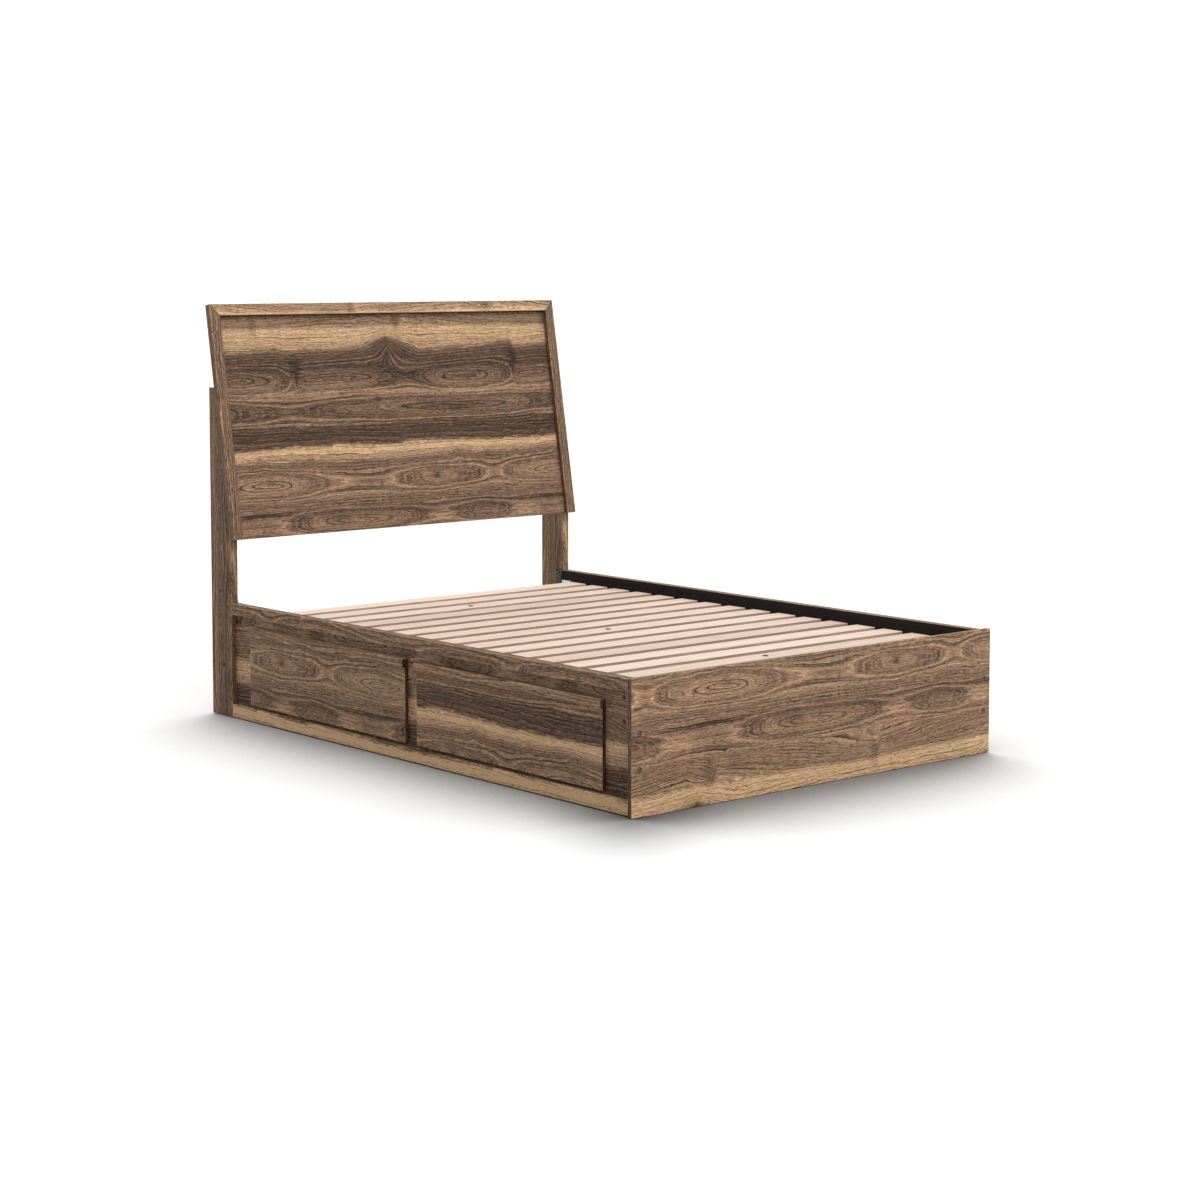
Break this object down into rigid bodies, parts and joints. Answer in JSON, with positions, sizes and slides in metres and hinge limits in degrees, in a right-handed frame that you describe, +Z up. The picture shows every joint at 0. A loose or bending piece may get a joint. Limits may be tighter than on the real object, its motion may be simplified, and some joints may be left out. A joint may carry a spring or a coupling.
{
  "type": "platform bed with storage drawers",
  "caption": "Full-size wooden platform bed with a leaning panel headboard, a slat deck on steel ledgers and storage drawers that slide out of one long side.",
  "frame": {"origin": "on the floor, at the middle of the bed's overall box", "axes": "+X across the bed away from the drawers, +Y along the bed from the footboard to the headboard, +Z up"},
  "size_m": [1.46, 2.1426, 1.3658],
  "materials": {
    "walnut": "satin walnut-look laminate with a fine grain",
    "slat_wood": "sanded pale softwood",
    "frame_wood": "plain sawn softwood",
    "case_board": "matt paper-faced board",
    "drawer_board": "matt paper-faced board",
    "black_steel": "black powder coat",
    "bolt_steel": "dull zinc plate",
    "runner_steel": "bright zinc plate",
    "glide_plastic": "black nylon",
    "pad_plastic": "pale nylon",
    "webbing": "woven tape"
  },
  "bodies": {
    "bed_frame": {"head_panel": "walnut", "head_top_rail": "walnut", "head_stile_left": "walnut", "head_stile_right": "walnut", "head_back_rail": "frame_wood", "head_cleat_left": "frame_wood", "head_cleat_right": "frame_wood", "post_left": "walnut", "post_right": "walnut", "head_stretcher": "walnut", "post_screws": "bolt_steel", "post_glides": "glide_plastic", "footboard": "walnut", "foot_bolts": "bolt_steel", "barrel_nuts": "bolt_steel", "foot_glides": "glide_plastic", "side_panel_left": "walnut", "side_panel_right": "walnut", "top_rail_left": "walnut", "top_rail_right": "walnut", "low_rail_left": "walnut", "low_rail_right": "walnut", "ledger_uprights": "black_steel", "ledger_shelves": "black_steel", "ledger_screws": "black_steel", "post_brackets": "black_steel", "bracket_screws": "black_steel", "ledger_pads": "pad_plastic", "panel_screws": "bolt_steel", "foot_cleats": "frame_wood", "slats": "slat_wood", "slat_straps": "webbing", "centre_beam": "frame_wood", "centre_legs": "frame_wood", "centre_feet": "glide_plastic", "centre_bolts": "bolt_steel", "case_sides": "case_board", "case_back": "case_board", "case_glides": "glide_plastic", "foot_outer_runners": "runner_steel", "head_outer_runners": "runner_steel"},
    "foot_drawer": {"foot_drawer_front": "walnut", "foot_drawer_lip": "walnut", "foot_box_front": "drawer_board", "foot_box_back": "drawer_board", "foot_box_side_near": "drawer_board", "foot_box_side_far": "drawer_board", "foot_box_bottom": "drawer_board", "foot_inner_runners": "runner_steel"},
    "foot_middle_slides": {"foot_middle_runners": "runner_steel"},
    "head_drawer": {"head_drawer_front": "walnut", "head_drawer_lip": "walnut", "head_box_front": "drawer_board", "head_box_back": "drawer_board", "head_box_side_near": "drawer_board", "head_box_side_far": "drawer_board", "head_box_bottom": "drawer_board", "head_inner_runners": "runner_steel"},
    "head_middle_slides": {"head_middle_runners": "runner_steel"}
  },
  "joints": [
    {"name": "foot_drawer_slide", "type": "slide", "parent": "bed_frame", "child": "foot_drawer", "axis": [-1, 0, 0], "range_m": [0, 0.45]},
    {"name": "foot_middle_slide", "type": "slide", "parent": "bed_frame", "child": "foot_middle_slides", "axis": [-1, 0, 0], "range_m": [0, 0.225]},
    {"name": "head_drawer_slide", "type": "slide", "parent": "bed_frame", "child": "head_drawer", "axis": [-1, 0, 0], "range_m": [0, 0.45]},
    {"name": "head_middle_slide", "type": "slide", "parent": "bed_frame", "child": "head_middle_slides", "axis": [-1, 0, 0], "range_m": [0, 0.225]}
  ],
  "couplings": [
    {"joint": "foot_middle_slide", "follows": "foot_drawer_slide", "ratio": 0.5},
    {"joint": "head_middle_slide", "follows": "head_drawer_slide", "ratio": 0.5}
  ]
}
